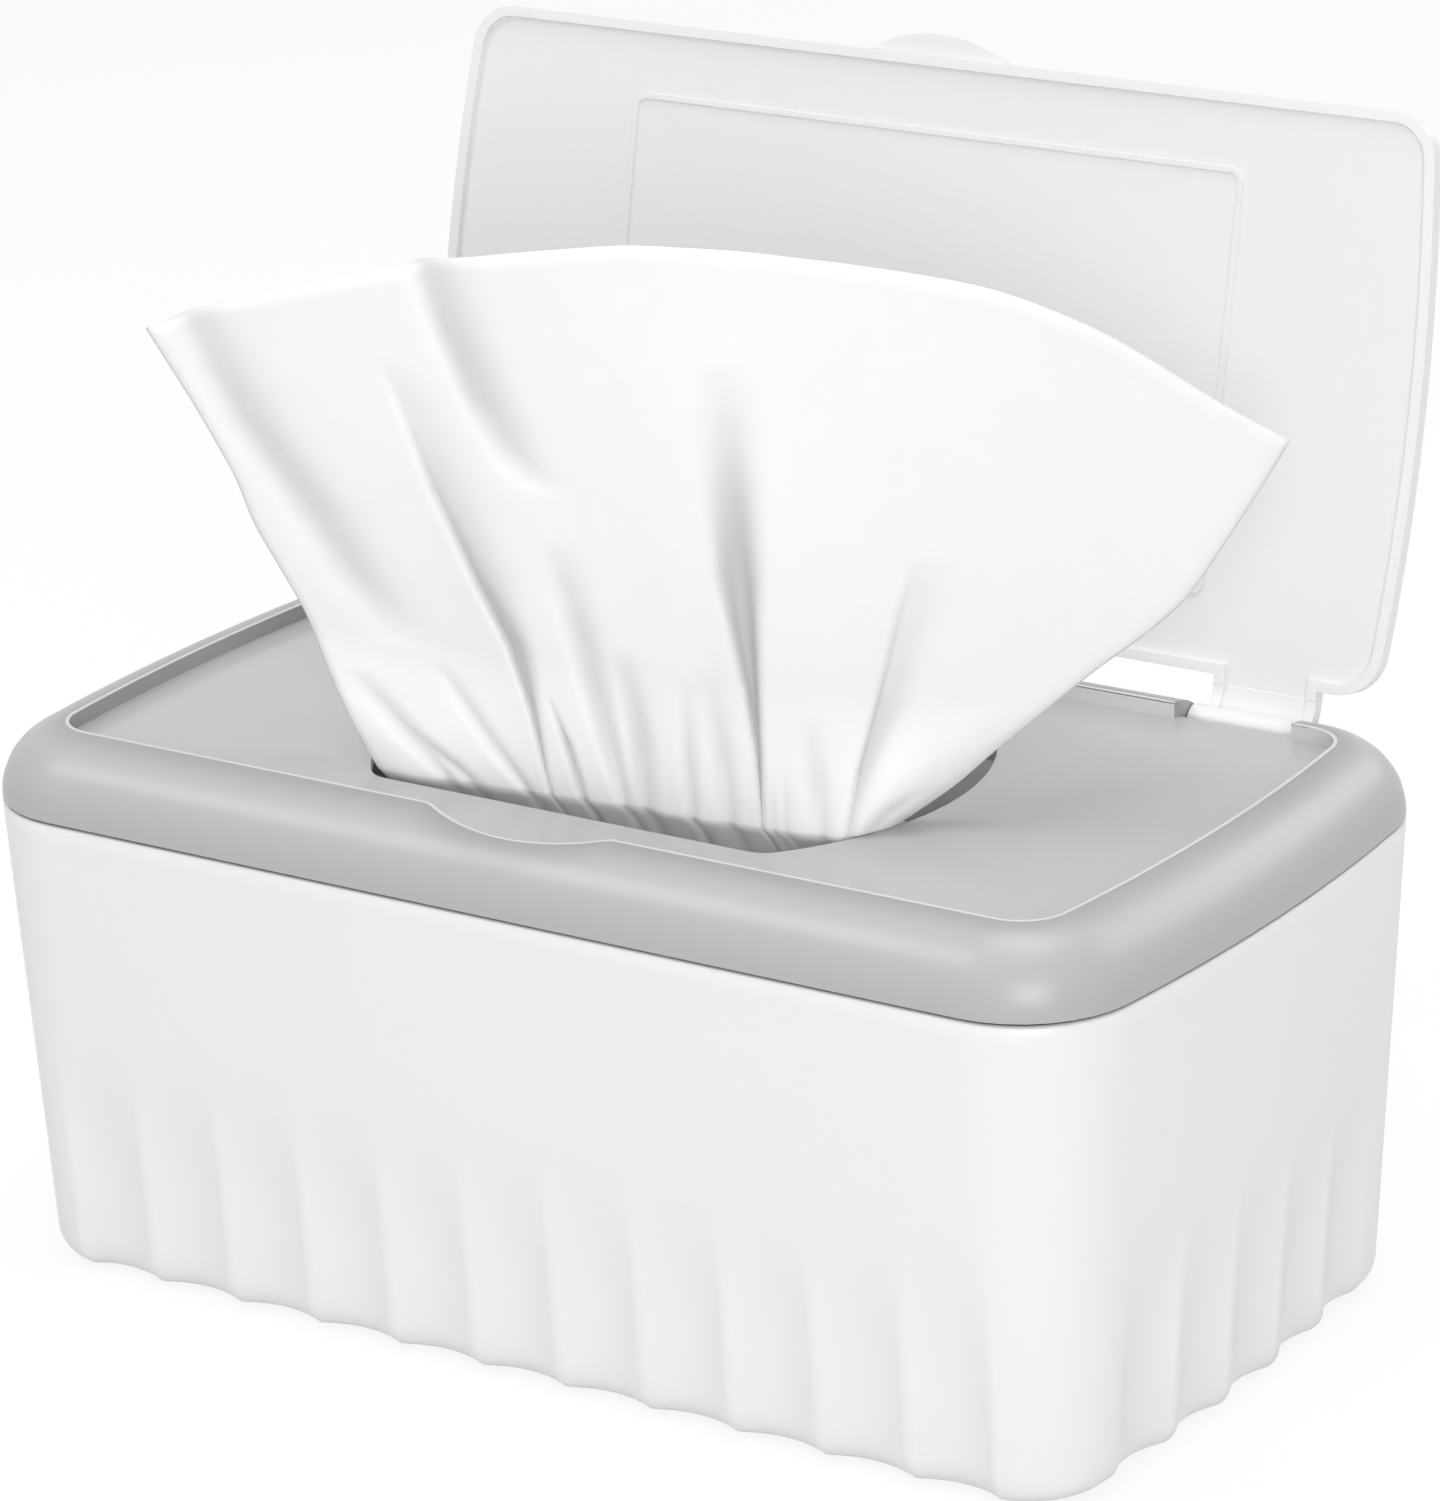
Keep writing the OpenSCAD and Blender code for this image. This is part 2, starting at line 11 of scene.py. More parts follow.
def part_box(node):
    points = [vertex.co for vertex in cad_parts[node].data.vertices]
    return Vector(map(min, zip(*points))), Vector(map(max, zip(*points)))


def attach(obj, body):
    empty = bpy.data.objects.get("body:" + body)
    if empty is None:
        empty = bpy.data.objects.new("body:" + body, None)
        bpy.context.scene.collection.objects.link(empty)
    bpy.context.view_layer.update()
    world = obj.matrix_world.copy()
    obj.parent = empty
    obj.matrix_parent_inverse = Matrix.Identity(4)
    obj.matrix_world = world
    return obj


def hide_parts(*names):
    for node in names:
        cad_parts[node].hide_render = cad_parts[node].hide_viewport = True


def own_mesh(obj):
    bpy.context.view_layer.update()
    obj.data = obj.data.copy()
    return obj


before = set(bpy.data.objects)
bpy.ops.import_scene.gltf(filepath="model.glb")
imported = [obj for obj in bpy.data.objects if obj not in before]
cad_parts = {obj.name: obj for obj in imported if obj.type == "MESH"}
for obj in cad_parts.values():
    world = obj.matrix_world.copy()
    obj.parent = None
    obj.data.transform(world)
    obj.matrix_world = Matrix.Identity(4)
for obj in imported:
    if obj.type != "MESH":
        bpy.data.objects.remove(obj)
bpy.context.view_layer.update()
scene = bpy.context.scene

# ---- Tub -----------------------------------------------------------------
# The real tub is one injection moulding in white polypropylene, about 2 mm
# thick, with a satin skin. Shallow concave flutes run up its lower half and die
# away below the shoulder. It carries everything else.

TUB_LENGTH = 0.2004
TUB_DEPTH = 0.1122
TUB_HEIGHT = 0.0756
TUB_WALL = 0.002
TUB_FLOOR = 0.0022
TUB_LEAN = 0.0043
CORNER_RADIUS = 0.0179
BOW_RADIUS = 0.384
FOOT_RADIUS = 0.0045
RIM_ROUNDING = 0.0004
LONG_FLUTES = 11
SHORT_FLUTES = 5
LONG_BAND = 0.167
SHORT_BAND = 0.075
FLUTE_DEPTH = 0.0018
FLUTE_TOP = 0.043
FLUTE_FULL = 0.016
STEPS_A_FLUTE = 14
STEPS_A_CORNER = 16
FOOT_STEPS = 8
OUTER_ROWS = 36
INNER_ROWS = 30
INNER_FOOT_STEPS = 6
WHITE = (0.86, 0.865, 0.87, 1)
FINE_GRAIN = 2600
DEEPER_TONE = 0.97
TONE_SPREAD = 0.5
PATCHY_ROUGHNESS = 0.08
GRAINY_ROUGHNESS = 0.05

bow_centre = TUB_LENGTH / 2 - BOW_RADIUS
corner_y = TUB_DEPTH / 2 - CORNER_RADIUS
bow_to_corner = BOW_RADIUS - CORNER_RADIUS
corner_x = bow_centre + math.sqrt(bow_to_corner**2 - corner_y**2)
bow_angle = math.asin(corner_y / bow_to_corner)


class Field:
    """A socket of a node tree, so that its maths reads as plain Python."""

    def __init__(self, tree, socket=None):
        self.tree, self.socket = tree, socket

    def make(self, kind, inputs=(), out=0, **settings):
        node = self.tree.nodes.new(kind)
        for name, value in settings.items():
            setattr(node, name, value)
        for name, value in dict(inputs).items():
            if isinstance(value, Field):
                self.tree.links.new(value.socket, node.inputs[name])
            else:
                node.inputs[name].default_value = value
        return Field(self.tree, node.outputs[out] if node.outputs else None)

    def maths(self, operation, *values):
        return self.make("ShaderNodeMath", enumerate(values), operation=operation)

    def __add__(self, other):
        return self.maths("ADD", self, other)

    def __sub__(self, other):
        return self.maths("SUBTRACT", self, other)

    def __rsub__(self, other):
        return self.maths("SUBTRACT", other, self)

    def __mul__(self, other):
        return self.maths("MULTIPLY", self, other)

    def __truediv__(self, other):
        return self.maths("DIVIDE", self, other)

    def __pow__(self, other):
        return self.maths("POWER", self, other)

    __radd__ = __add__


def short_point(distance):
    """Point of the tub's outline, and its outward direction, from the middle of the right end."""
    limit = BOW_RADIUS * bow_angle
    on_bow = max(-limit, min(limit, distance))
    turn = on_bow / BOW_RADIUS + (distance - on_bow) / CORNER_RADIUS
    out = Vector((math.cos(turn), math.sin(turn)))
    if on_bow == distance:
        return Vector((bow_centre, 0)) + BOW_RADIUS * out, out
    return Vector((corner_x, math.copysign(corner_y, distance))) + CORNER_RADIUS * out, out


def long_point(distance):
    """Point of the tub's outline, and its outward direction, from the middle of the back."""
    straight = max(-corner_x, min(corner_x, distance))
    turn = math.pi / 2 - (distance - straight) / CORNER_RADIUS
    out = Vector((math.cos(turn), math.sin(turn)))
    return Vector((straight, corner_y)) + CORNER_RADIUS * out, out


def tub_outline():
    """Points round the tub as (place, outward, flute count), anticlockwise from the right end."""
    half = []
    for i in range(SHORT_FLUTES * STEPS_A_FLUTE + 1):
        flutes = i / STEPS_A_FLUTE
        half.append((*short_point((flutes / SHORT_FLUTES - 0.5) * SHORT_BAND), flutes))
    start = half[-1][1].angle_signed(Vector((1, 0)))
    end = long_point(LONG_BAND / 2)[1].angle_signed(Vector((1, 0)))
    corner = []
    for i in range(STEPS_A_CORNER):
        turn = start + (end - start) * (i + 0.5) / STEPS_A_CORNER
        out = Vector((math.cos(turn), math.sin(turn)))
        corner.append((Vector((corner_x, corner_y)) + CORNER_RADIUS * out, out, 0.0))
    half += corner
    for i in range(LONG_FLUTES * STEPS_A_FLUTE + 1):
        flutes = i / STEPS_A_FLUTE
        half.append((*long_point((0.5 - flutes / LONG_FLUTES) * LONG_BAND), flutes))
    across = Vector((-1, 1))
    half += [(place * across, out * across, 0.0) for place, out, _ in reversed(corner)]
    return half + [(-place, -out, flutes) for place, out, flutes in half]


def lean(z):
    """How far the wall stands in from the rim's outline at a height."""
    return TUB_LEAN * (1 - z / TUB_HEIGHT)


def tub_profile():
    """The wall's section as (inset, height), up the outside and down the inside."""
    rows = []
    for step in range(FOOT_STEPS + 1):
        turn = math.radians(90 * (1 - step / FOOT_STEPS))
        rise = FOOT_RADIUS * (1 - math.sin(turn))
        rows.append((FOOT_RADIUS * (1 - math.cos(turn)) + lean(rise), rise))
    for z in np.linspace(FOOT_RADIUS, TUB_HEIGHT - RIM_ROUNDING, OUTER_ROWS)[1:]:
        rows.append((lean(z), z))
    for inset in (RIM_ROUNDING, TUB_WALL - RIM_ROUNDING):
        rows.append((inset, TUB_HEIGHT))
    inner_foot = FOOT_RADIUS - TUB_WALL
    for z in np.linspace(TUB_HEIGHT - RIM_ROUNDING, TUB_FLOOR + inner_foot, INNER_ROWS):
        rows.append((lean(z) + TUB_WALL, z))
    for step in range(1, INNER_FOOT_STEPS + 1):
        turn = math.radians(90 * step / INNER_FOOT_STEPS)
        z = TUB_FLOOR + inner_foot * (1 - math.sin(turn))
        rows.append((lean(z) + TUB_WALL + inner_foot * (1 - math.cos(turn)), z))
    return rows


def new_piece(name, vertices, faces):
    """A smooth-shaded object with its normals pointing outwards."""
    mesh = bpy.data.meshes.new(name)
    mesh.from_pydata([tuple(v) for v in vertices], [], faces)
    work = bmesh.new()
    work.from_mesh(mesh)
    bmesh.ops.recalc_face_normals(work, faces=work.faces)
    work.to_mesh(mesh)
    work.free()
    mesh.shade_smooth()
    piece = bpy.data.objects.new(name, mesh)
    scene.collection.objects.link(piece)
    return piece


def skin(rows, count):
    """Faces between rings of the same number of points, with a face over each end."""
    faces = []
    for row in range(rows - 1):
        for i in range(count):
            k = (i + 1) % count
            low, up = row * count, (row + 1) * count
            faces.append((low + i, low + k, up + k, up + i))
    faces.append(tuple(reversed(range(count))))
    faces.append(tuple(range((rows - 1) * count, rows * count)))
    return faces


def plain_result(piece, name):
    """The evaluated object as a plain mesh object under a new name, without its modifiers."""
    bpy.context.view_layer.update()
    graph = bpy.context.evaluated_depsgraph_get()
    mesh = bpy.data.meshes.new_from_object(piece.evaluated_get(graph))
    bpy.data.objects.remove(piece)
    mesh.name = name
    result = bpy.data.objects.new(name, mesh)
    scene.collection.objects.link(result)
    return result


def group_input(tree, name, kind):
    """A named input of a Geometry Nodes tree, as the modifier knows it."""
    return tree.interface.new_socket(name, in_out="INPUT", socket_type=kind).identifier


def add_group(piece, tree, values):
    """Puts a Geometry Nodes tree on a piece with the values of its inputs."""
    modifier = piece.modifiers.new(tree.name, "NODES")
    modifier.node_group = tree
    for identifier, value in values.items():
        modifier[identifier] = value
    piece.update_tag()


def blank_material(name):
    """A new material and an empty field of its node tree."""
    material = bpy.data.materials.new(name)
    material.use_nodes = True
    material.node_tree.nodes.clear()
    return material, Field(material.node_tree)


def shaded(colour, share):
    """A share of a colour's light."""
    return (*(part * share for part in colour[:3]), 1)


def blend(factor, first, second):
    """A colour between two, by a factor from 0 to 1."""
    mix_first, mix_second, mix_colour = 6, 7, 2
    inputs = {"Factor": factor, mix_first: first, mix_second: second}
    return factor.make("ShaderNodeMix", inputs, out=mix_colour, data_type="RGBA")


def plastic(
    name, colour, roughness, grain_depth, grain=FINE_GRAIN, shine=0.5, glow=0.0, painted_shade=None
):
    """Moulded plastic: a fine spark-eroded grain, and a tone and roughness that wander a little.

    Its last argument pairs a function, which gives 1 where shade is painted
    into the colour, with the share of light left there.
    """
    material, field = blank_material(name)
    place = field.make("ShaderNodeTexCoord", out="Object")
    fine = field.make("ShaderNodeTexNoise", {"Vector": place, "Scale": grain, "Detail": 3.0})
    broad = field.make("ShaderNodeTexNoise", {"Vector": place, "Scale": 22.0, "Detail": 2.0})
    normal = field.make(
        "ShaderNodeBump", {"Height": fine, "Strength": 0.35, "Distance": grain_depth}
    )
    tone = blend((broad - 0.5) * TONE_SPREAD + 0.5, colour, shaded(colour, DEEPER_TONE))
    # Shade painted into the colour where the mask is 1.
    if painted_shade:
        where, shade = painted_shade
        tone = blend(where(place), tone, shaded(colour, shade))
    uneven = (broad - 0.5) * PATCHY_ROUGHNESS + (fine - 0.5) * GRAINY_ROUGHNESS
    shader = field.make(
        "ShaderNodeBsdfPrincipled",
        {
            "Base Color": tone,
            "Roughness": roughness + uneven,
            "Specular IOR Level": shine,
            "Subsurface Weight": glow,
            "Subsurface Radius": (0.003, 0.003, 0.003),
            "Subsurface Scale": 1.0,
            "Normal": normal,
        },
    )
    field.make("ShaderNodeOutputMaterial", {"Surface": shader})
    return material


def fluted(tub):
    """Presses the flutes into the tub's wall."""
    tree = bpy.data.node_groups.new("Flutes", "GeometryNodeTree")
    group_input(tree, "Tub", "NodeSocketGeometry")
    sizes = {
        group_input(tree, "Depth", "NodeSocketFloat"): FLUTE_DEPTH,
        group_input(tree, "Top", "NodeSocketFloat"): FLUTE_TOP,
        group_input(tree, "Full below", "NodeSocketFloat"): FLUTE_FULL,
        group_input(tree, "Plastic", "NodeSocketMaterial"): white_plastic,
    }
    tree.interface.new_socket("Tub", in_out="OUTPUT", socket_type="NodeSocketGeometry")
    start = tree.nodes.new("NodeGroupInput")
    tub_in, depth, top, full, finish = (Field(tree, start.outputs[i]) for i in range(5))
    field = Field(tree)
    count = field.make("GeometryNodeInputNamedAttribute", {"Name": "flutes"}, data_type="FLOAT")
    outward = field.make(
        "GeometryNodeInputNamedAttribute", {"Name": "outward"}, data_type="FLOAT_VECTOR"
    )
    place = field.make("GeometryNodeInputPosition")
    height = field.make("ShaderNodeSeparateXYZ", {"Vector": place}, out="Z")
    across = count.maths("FRACT", count) * 2 - 1
    scallop = 1 - across * across
    fade = field.make(
        "ShaderNodeMapRange",
        {"Value": height, "From Min": full, "From Max": top, "To Min": 1.0, "To Max": 0.0},
        interpolation_type="SMOOTHSTEP",
    )
    push = field.make(
        "ShaderNodeVectorMath",
        {"Vector": outward, "Scale": scallop * fade * depth * -1},
        operation="SCALE",
    )
    pressed = field.make("GeometryNodeSetPosition", {"Geometry": tub_in, "Offset": push})
    real = field.make("GeometryNodeRealizeInstances", {"Geometry": pressed})
    done = field.make("GeometryNodeSetMaterial", {"Geometry": real, "Material": finish})
    tree.links.new(done.socket, tree.nodes.new("NodeGroupOutput").inputs[0])
    add_group(tub, tree, sizes)
    return plain_result(tub, "fluted_tub")


white_plastic = plastic("white plastic", WHITE, roughness=0.36, grain_depth=2e-5, glow=0.15)
outline, profile = tub_outline(), tub_profile()
tub = new_piece(
    "tub_blank",
    [
        (place.x - inset * out.x, place.y - inset * out.y, z)
        for inset, z in profile
        for place, out, _ in outline
    ],
    skin(len(profile), len(outline)),
)
stations = outline * len(profile)
outward = tub.data.attributes.new("outward", "FLOAT_VECTOR", "POINT")
outward.data.foreach_set("vector", [c for _, out, _ in stations for c in (out.x, out.y, 0)])
flutes = tub.data.attributes.new("flutes", "FLOAT", "POINT")
flutes.data.foreach_set("value", [count for _, _, count in stations])
tub = fluted(tub)
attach(tub, "tub")
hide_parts("tub")

# ---- Cover ---------------------------------------------------------------
# The cover is one moulding in silver-grey plastic: a rolled rim round a sunk
# deck with the slot, the finger scoop, two hinge notches and a skirt. A thin
# lip follows the recess, its lighter grey a painted highlight. The cover lifts
# off the tub to refill it.

RIM_TOP = 0.08725
DECK_TOP = 0.08475
ROLL_RADIUS = 0.01085
RECESS_HALF_DEPTH = 0.04525
NOTCH_INNER = 0.0574
NOTCH_OUTER = 0.0774
SCOOP_HALF_WIDTH = 0.016
SCOOP_RADIUS = 0.03477
SCOOP_CHORD = 0.03087
DISH_DROP = 0.00145
GAP_HEIGHT = 0.0003
EDGE_ROUNDING = 0.00028
SHARP_ANGLE = 32
FLAT_ANGLE = 0.5
WELD = 2e-6
TOUCH = 1e-5
SAME_HEIGHT = 5e-5
LEVEL = 0.999
LOOKS_FORWARD = 0.5
LIP_WIDTH = 0.0006
LIP_HEIGHT = 0.00008
LIP_STEPS = 6
REAR_LIP_STEPS = 24
# Shade painted into the roll's colour beside the recess: its width and the light left there.
PAINTED_SHADE_WIDTH = 0.0065
PAINTED_SHADE_SHARE = 0.72
GREY = (0.45, 0.452, 0.458, 1)
# The deck's grey is a little lighter than the roll's, as painted light.
LIT_DECK_GREY = (0.475, 0.477, 0.483, 1)
# The lips and the forward faces of the rear bar are lighter grey as a painted highlight.
PAINTED_HIGHLIGHT_GREY = (0.62, 0.622, 0.63, 1)
# The parting gap's faces are painted near black as the shade in the groove.
GAP_PAINTED_SHADE = (0.012, 0.012, 0.013, 1)


def softened(node, name):
    """A copy of a CAD node with its sharp edges rounded as a moulding's are."""
    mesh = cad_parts[node].data.copy()
    mesh.name = name
    mesh.materials.clear()
    work = bmesh.new()
    work.from_mesh(mesh)
    bmesh.ops.remove_doubles(work, verts=work.verts, dist=WELD)
    flat = math.radians(FLAT_ANGLE)
    bmesh.ops.dissolve_limit(work, angle_limit=flat, verts=work.verts, edges=work.edges)
    work.to_mesh(mesh)
    work.free()
    mesh.shade_smooth()
    piece = bpy.data.objects.new(name + "_sharp", mesh)
    scene.collection.objects.link(piece)
    bevel = piece.modifiers.new("Rounded edges", "BEVEL")
    bevel.width = EDGE_ROUNDING
    bevel.segments = 2
    bevel.limit_method = "ANGLE"
    bevel.angle_limit = math.radians(SHARP_ANGLE)
    bevel.harden_normals = True
    weighted = piece.modifiers.new("Weighted", "WEIGHTED_NORMAL")
    weighted.keep_sharp = True
    return plain_result(piece, name)


def tube(name, path, section):
    """A closed section of (outwards, up) offsets swept along an open path of points."""
    path = np.array(path)
    along = np.gradient(path[:, :2], axis=0)
    out = np.stack([along[:, 1], -along[:, 0]], -1)
    out /= np.linalg.norm(out, axis=1)[:, None]
    points = [
        (place[0] + side[0] * a, place[1] + side[1] * a, place[2] + b)
        for place, side in zip(path, out)
        for a, b in section
    ]
    return new_piece(name, points, skin(len(path), len(section)))


def rim_edge():
    """The line just outside the recess, from one hinge notch round the front to the other."""
    ring = [place - (ROLL_RADIUS - LIP_WIDTH / 2) * out for place, out, _ in outline]
    kept = [abs(p.x) > NOTCH_OUTER or p.y < RECESS_HALF_DEPTH for p in ring]
    first = next(i for i in range(len(ring)) if kept[i] and not kept[i - 1])
    ring = [ring[(first + i) % len(ring)] for i in range(sum(kept))]
    back = ring[0].y
    ring = [Vector((-NOTCH_OUTER, back)), *ring, Vector((NOTCH_OUTER, back))]
    edge = []
    for p in ring:
        y, drop = p.y, 0
        if p.y < -RECESS_HALF_DEPTH and abs(p.x) < SCOOP_HALF_WIDTH:
            y -= math.sqrt(SCOOP_RADIUS**2 - p.x**2) - SCOOP_CHORD
            beyond = -RECESS_HALF_DEPTH - y
            drop = max(
                ROLL_RADIUS - math.sqrt(ROLL_RADIUS**2 - beyond**2),
                DISH_DROP * (1 - (p.x / SCOOP_HALF_WIDTH) ** 2),
            )
        edge.append((p.x, y, RIM_TOP - drop))
    return edge


def painted_shade_beside_recess(place):
    """Mask of painted shade: 1 beside the recess and its scoop, falling to 0 near the crest of the
    roll.
    """
    x, y = (place.make("ShaderNodeSeparateXYZ", {"Vector": place}, out=axis) for axis in "XY")
    end = x.maths("ABSOLUTE", x) + y * y / (2 * (BOW_RADIUS - ROLL_RADIUS))
    end = end - (TUB_LENGTH / 2 - CORNER_RADIUS)
    side = y.maths("ABSOLUTE", y) - corner_y
    across, along = end.maths("MAXIMUM", end, 0.0), side.maths("MAXIMUM", side, 0.0)
    past_rim = (across * across + along * along) ** 0.5 - (CORNER_RADIUS - ROLL_RADIUS)
    from_middle = y + (RECESS_HALF_DEPTH - SCOOP_CHORD)
    past_scoop = (x * x + from_middle * from_middle) ** 0.5 - SCOOP_RADIUS
    past = past_rim.maths("MINIMUM", past_rim, past_scoop)
    return place.make(
        "ShaderNodeMapRange",
        {"Value": past, "From Min": 0.0, "From Max": PAINTED_SHADE_WIDTH, "To Min": 1.0, "To Max": 0.0},
        interpolation_type="SMOOTHSTEP",
    )


def cover_finish(face):
    """Which of the cover's finishes a face has."""
    y, z = face.center.yz
    if face.normal.z > LEVEL and abs(z - DECK_TOP) < SAME_HEIGHT:
        return "polished silver-grey"
    # Painted shade: the groove faces of the parting gap are near black.
    if TUB_HEIGHT - TOUCH < z < RIM_TOP - ROLL_RADIUS - GAP_HEIGHT:
        return "parting gap painted shade"
    # Painted highlight: forward faces above the deck at the back take the lighter grey.
    if -face.normal.y > LOOKS_FORWARD and z > DECK_TOP and y > corner_y:
        return "painted highlight edge"
    return "satin silver-grey"


# The satin grey darkens beside the recess and scoop as painted shade.
painted_rim_shade = (painted_shade_beside_recess, PAINTED_SHADE_SHARE)
painted_highlight = plastic("painted highlight edge", PAINTED_HIGHLIGHT_GREY, roughness=0.25, grain_depth=4e-6)
cover_finishes = [
    plastic("satin silver-grey", GREY, roughness=0.34, grain_depth=1.5e-5, painted_shade=painted_rim_shade),
    plastic("polished silver-grey", LIT_DECK_GREY, roughness=0.2, grain_depth=4e-6, shine=0.4),
    plastic("parting gap painted shade", GAP_PAINTED_SHADE, roughness=0.8, grain_depth=1.5e-5, shine=0.1),
    painted_highlight,
]
cover = softened("cover", "rolled_cover")
for finish in cover_finishes:
    cover.data.materials.append(finish)
for face in cover.data.polygons:
    face.material_index = cover.data.materials.find(cover_finish(face))
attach(cover, "cover")
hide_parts("cover")

# The lips are small beads on the recess edge and the rear bar, their lighter grey a painted
# highlight.
turns = [math.pi * step / LIP_STEPS for step in range(LIP_STEPS + 1)]
half_round = [(LIP_WIDTH / 2 * math.cos(turn), LIP_HEIGHT * math.sin(turn)) for turn in turns]
half_round += [(-LIP_WIDTH / 2, -LIP_WIDTH / 3), (LIP_WIDTH / 2, -LIP_WIDTH / 3)]
rear_y = RECESS_HALF_DEPTH + LIP_WIDTH / 2
rear_xs = np.linspace(NOTCH_INNER, -NOTCH_INNER, REAR_LIP_STEPS)
rear_edge = [(x, rear_y, RIM_TOP) for x in rear_xs]
for name, path in (("recess_lip", rim_edge()), ("rear_lip", rear_edge)):
    lip = tube(name, path, half_round)
    lip.data.materials.append(painted_highlight)
    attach(lip, "cover")

# ---- Lid -----------------------------------------------------------------
# The lid is one moulding in the tub's white plastic, with its arms, barrels and
# stub pins. The pins snap into sockets in the cover's notches. Its rim and back
# are polished, and its inner panel, arms and barrels are matt and a little
# darker, as painted shade.

# The panel's white is darker than the rim's as painted shade.
RIM_WHITE = (0.84, 0.842, 0.845, 1)
SHADED_PANEL_WHITE = (0.81, 0.813, 0.817, 1)
LID_OPEN = 102
BEAD_HEIGHT = 0.0004
LOOKS_INWARD = 0.3
COARSE_GRAIN = 1800
HINGE_AXIS = (0.0509, 0.0829)
BARREL_REACH = 0.0027
ARM_MIDDLE = 0.068
ARM_HALF_INSIDE = 0.0065
ARM_REACH = 0.014


def panel_faces(mesh, inward):
    """Faces of the lid's sunk inner panel and of the bead on it, which all look inward."""
    looking = [face for face in mesh.polygons if face.normal.dot(inward) > LOOKS_INWARD]
    panel = max(looking, key=lambda face: face.area).center.dot(inward)
    highest = panel + BEAD_HEIGHT + SAME_HEIGHT
    return [face for face in looking if face.center.dot(inward) < highest]


def arm_faces(mesh, inward):
    """Faces of the hinge arms between their edges, and of the barrels."""
    found = []
    for face in mesh.polygons:
        from_axis = (face.center.yz - Vector(HINGE_AXIS)).length
        shown = face.normal.dot(inward) > 0 and from_axis < ARM_REACH
        between = abs(abs(face.center.x) - ARM_MIDDLE) < ARM_HALF_INSIDE
        if between and (shown or from_axis < BARREL_REACH):
            found.append(face)
    return found


matt = {"roughness": 0.5, "grain": COARSE_GRAIN, "grain_depth": 3e-5}
lid_finishes = [
    plastic("polished white", RIM_WHITE, roughness=0.3, grain_depth=1e-5, glow=0.1),
    plastic("matt white with painted shade", SHADED_PANEL_WHITE, glow=0.1, **matt),
]
lid = softened("lid", "flip_lid")
for finish in lid_finishes:
    lid.data.materials.append(finish)
looks_in = Matrix.Rotation(math.radians(-LID_OPEN), 3, "X") @ Vector((0, 0, -1))
# The panel, arms and barrels take the darker white, as painted shade.
for face in panel_faces(lid.data, looks_in) + arm_faces(lid.data, looks_in):
    face.material_index = 1
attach(lid, "lid")
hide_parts("lid")

# ---- Wipes in the tub ----------------------------------------------------
# Interfolded wipes lie in a stack, each folded edge a soft round. The layers are
# one folded wipe repeated up the stack, each shifted a little.

STACK_LENGTH = 0.177
STACK_DEPTH = 0.087
STACK_LAYERS = 26
STACK_WANDER = 0.0004
STACK_CORNER = 0.004
CORNER_STEPS = 4
FOLD_STEPS = 6
LAYER_FILL = 0.96
CLOTH_WHITE = (0.95, 0.953, 0.95, 1)
THIN_SHADE = 0.965
# Share of light left in the deepest creases: shade painted into the cloth's colour.
CREASE_SHADE = 0.6


def cloth(name):
    """Soft nonwoven: fine crossing fibres, thicker and thinner patches, and painted shade in the
    creases.
    """
    material, field = blank_material(name)
    place = field.make("ShaderNodeTexCoord", out="Object")
    fibres = field.make(
        "ShaderNodeTexNoise", {"Vector": place, "Scale": 1500.0, "Detail": 6.0, "Distortion": 2.0}
    )
    clouds = field.make("ShaderNodeTexNoise", {"Vector": place, "Scale": 140.0, "Detail": 3.0})
    height = fibres * 0.6 + clouds * 0.4
    normal = field.make("ShaderNodeBump", {"Height": height, "Strength": 0.3, "Distance": 0.0001})
    tone = blend(clouds, CLOTH_WHITE, shaded(CLOTH_WHITE, THIN_SHADE))
    # Shade painted into the creases, read from a point attribute.
    painted_crease_shade = field.make("ShaderNodeAttribute", attribute_name="painted_crease_shade", out="Fac")
    shader = field.make(
        "ShaderNodeBsdfPrincipled",
        {
            "Base Color": blend(painted_crease_shade, tone, shaded(CLOTH_WHITE, CREASE_SHADE)),
            "Roughness": 0.9,
            "Specular IOR Level": 0.2,
            "Sheen Weight": 0.15,
            "Subsurface Weight": 0.3,
            "Subsurface Radius": (0.002, 0.002, 0.002),
            "Subsurface Scale": 1.0,
            "Normal": normal,
        },
    )
    field.make("ShaderNodeOutputMaterial", {"Surface": shader})
    return material


def folded_layer(thickness):
    """One folded wipe: a thin slab with softly rounded folded edges."""
    x, y = STACK_LENGTH / 2 - STACK_CORNER, STACK_DEPTH / 2 - STACK_CORNER
    corners = ((x, y), (-x, y), (-x, -y), (x, -y))
    points = []
    for row in range(FOLD_STEPS + 1):
        fold = math.pi * row / FOLD_STEPS - math.pi / 2
        radius = STACK_CORNER - thickness / 2 * (1 - math.cos(fold))
        z = thickness / 2 * math.sin(fold)
        for quarter, (corner_across, corner_back) in enumerate(corners):
            for step in range(CORNER_STEPS + 1):
                turn = math.pi / 2 * (quarter + step / CORNER_STEPS)
                across = corner_across + radius * math.cos(turn)
                points.append((across, corner_back + radius * math.sin(turn), z))
    around = len(corners) * (CORNER_STEPS + 1)
    return new_piece("folded_wipe", points, skin(FOLD_STEPS + 1, around))


